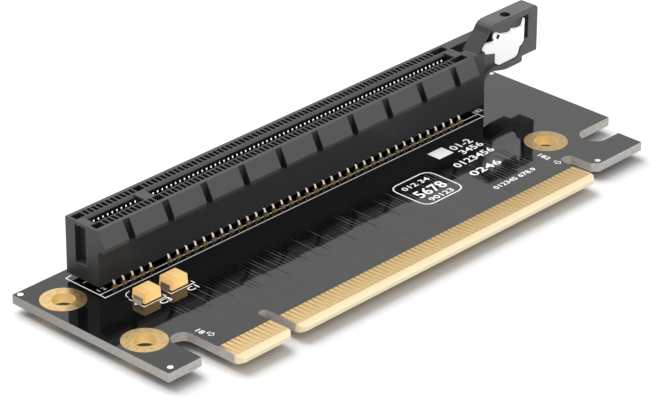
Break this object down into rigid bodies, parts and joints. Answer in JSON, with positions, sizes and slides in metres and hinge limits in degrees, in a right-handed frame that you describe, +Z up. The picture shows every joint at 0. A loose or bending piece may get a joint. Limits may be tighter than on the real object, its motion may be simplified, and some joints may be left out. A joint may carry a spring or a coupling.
{
  "type": "card edge riser",
  "caption": "Flat black riser board with a gold-fingered card edge, an upright black card slot with a white sprung latch, two small yellow capacitors and plated screw holes",
  "frame": {"origin": "middle of the underside, at the tips of the solder joints under the slot, half way along and across the whole part", "axes": "+X along the slot towards the latch, +Y from the gold fingers to the slot side, +Z up from the board"},
  "size_m": [0.1154, 0.0402, 0.0184],
  "materials": {
    "board": "gloss",
    "housing": "matte",
    "gold": "satin",
    "tin": "satin",
    "solder": "satin",
    "case": "satin",
    "latch": "matte",
    "pin": "satin"
  },
  "bodies": {
    "riser": {"board": "board", "slot_housing": "housing", "screw_plating_left_rear": "tin", "screw_plating_left_front": "tin", "screw_plating_right": "tin", "gold_fingers_top_short": "gold", "gold_fingers_top_long": "gold", "gold_fingers_bottom_short": "gold", "gold_fingers_bottom_long": "gold", "contacts_front_outer": "tin", "contacts_front_inner": "tin", "contacts_rear_outer": "tin", "contacts_rear_inner": "tin", "tail_joints_front_outer": "solder", "tail_joints_front_inner": "solder", "tail_joints_rear_outer": "solder", "tail_joints_rear_inner": "solder", "capacitor_case_1": "case", "capacitor_case_2": "case", "capacitor_straps_1": "tin", "capacitor_straps_2": "tin", "capacitor_solder_1": "solder", "capacitor_solder_2": "solder", "corner_marks": "tin", "latch_pin": "pin"},
    "lever": {"latch_lever": "latch"}
  },
  "joints": [
    {"name": "latch_hinge", "type": "hinge", "parent": "riser", "child": "lever", "pos_m": [0.0473, 0.0109, 0.01565], "axis": [0, -1, 0], "range_deg": [0, 3], "stiffness_Nm_per_rad": 0.0005}
  ]
}
